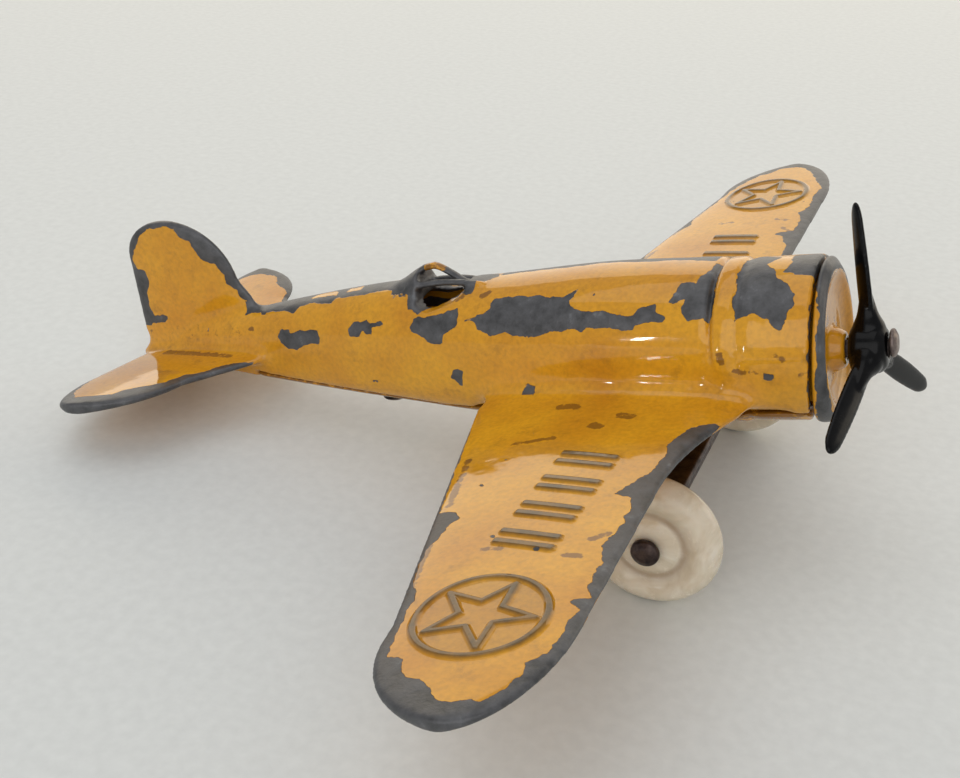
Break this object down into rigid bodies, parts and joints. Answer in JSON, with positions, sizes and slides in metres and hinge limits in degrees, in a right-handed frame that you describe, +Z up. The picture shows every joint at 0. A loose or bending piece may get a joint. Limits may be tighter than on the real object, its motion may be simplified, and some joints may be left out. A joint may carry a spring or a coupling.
{
  "type": "toy airplane",
  "caption": "Die-cast low-wing toy airplane with a radial cowl, freely spinning propeller and two rolling wheels on one axle, standing on its wheels and tail.",
  "frame": {"origin": "on the floor under the middle of the box around the toy as it stands on both wheels and its tail skid", "axes": "+Z up, +X towards the nose, +Y to port along the wings"},
  "size_m": [0.0886, 0.1108, 0.0337],
  "materials": {
    "yellow_enamel": "glossy orange-yellow enamel, chipped to dark zinc",
    "bare_zinc": "dull dark zinc casting with worn enamel in its face",
    "black_plastic": "glossy black moulded plastic",
    "browned_steel": "browned, oiled steel",
    "pearl_plastic": "pearly off-white moulded plastic"
  },
  "bodies": {
    "airframe": {"body_casting": "yellow_enamel", "belly_casting": "yellow_enamel", "engine_casting": "bare_zinc", "propeller_pin": "browned_steel", "gear_bracket": "browned_steel", "axle_rod": "browned_steel", "rivet_front": "browned_steel", "rivet_rear": "browned_steel"},
    "propeller": {"propeller": "black_plastic"},
    "wheel_left": {"wheel_left": "pearl_plastic"},
    "wheel_right": {"wheel_right": "pearl_plastic"}
  },
  "joints": [
    {"name": "propeller_spin", "type": "hinge", "parent": "airframe", "child": "propeller", "pos_m": [0.03788, 0, 0.02104], "axis": [0.9694, 0, 0.2456], "continuous": true},
    {"name": "wheel_left_spin", "type": "hinge", "parent": "airframe", "child": "wheel_left", "pos_m": [0.02446, 0.0162, 0.0064], "axis": [0, 1, 0], "continuous": true},
    {"name": "wheel_right_spin", "type": "hinge", "parent": "airframe", "child": "wheel_right", "pos_m": [0.02446, -0.0162, 0.0064], "axis": [0, 1, 0], "continuous": true}
  ]
}
